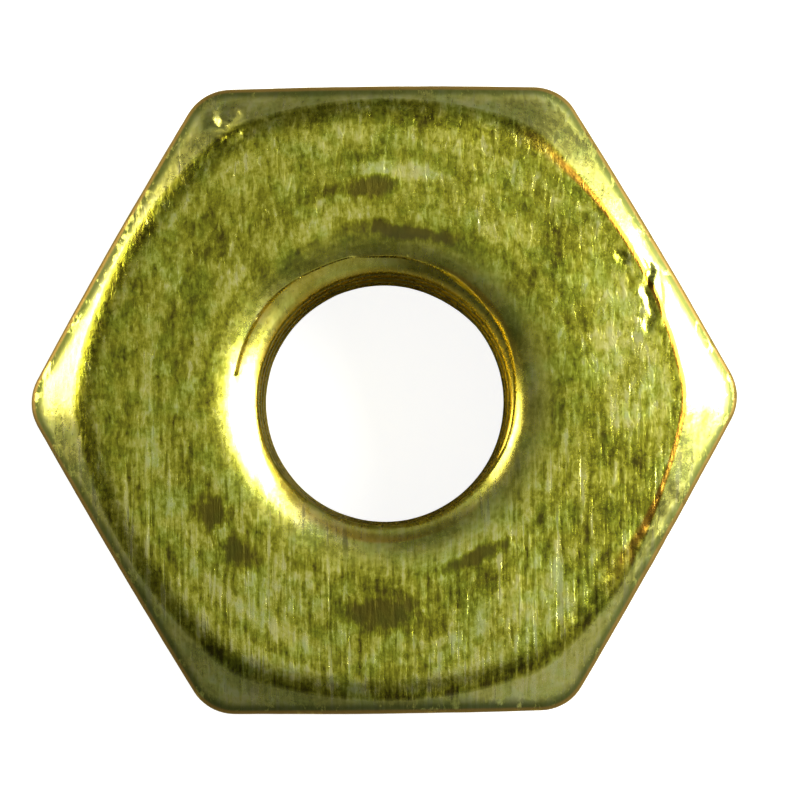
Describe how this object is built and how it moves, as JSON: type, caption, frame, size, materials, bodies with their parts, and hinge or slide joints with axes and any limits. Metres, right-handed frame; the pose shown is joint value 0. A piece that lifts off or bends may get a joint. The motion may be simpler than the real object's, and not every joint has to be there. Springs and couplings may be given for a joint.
{
  "type": "hex nut",
  "caption": "Plain brass hex nut, threaded right through, with a chamfered upper face, a flat bearing face and softly rounded upright corners.",
  "frame": {"origin": "centre of the bearing face, on the axis of the threaded hole", "axes": "+Z along the hole towards the chamfered face, +X towards one upright corner, +Y square to one flat"},
  "size_m": [0.0098, 0.0088, 0.0032],
  "materials": {
    "brass": "worn, semi-bright, with fine scratches and olive-brown tarnish"
  },
  "bodies": {
    "root": {"nut": "brass"}
  },
  "joints": []
}
